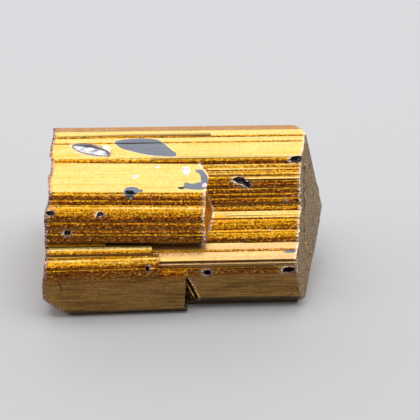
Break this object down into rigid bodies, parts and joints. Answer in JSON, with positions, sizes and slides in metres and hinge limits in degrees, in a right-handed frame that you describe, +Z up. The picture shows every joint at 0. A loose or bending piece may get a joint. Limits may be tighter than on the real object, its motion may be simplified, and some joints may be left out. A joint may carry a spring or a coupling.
{
  "type": "aura tourmaline crystal",
  "caption": "Stout striated tourmaline crystal lying on a prism side, with a low three-sided pyramid at one end, a broken base at the other and smaller crystals grown on.",
  "frame": {"origin": "middle of the crystal's outline seen from above, on the plane that it lies on", "axes": "+X along the crystal's long axis towards its pyramid, +Z up, -Y towards the striated front with the grown-on crystals"},
  "size_m": [0.049, 0.0318, 0.0253],
  "materials": {
    "coated_tourmaline": "black tourmaline with a thin golden metallic film, satin on striated sides, matte on the pyramid"
  },
  "bodies": {
    "root": {"tourmaline_crystal": "coated_tourmaline"}
  },
  "joints": []
}
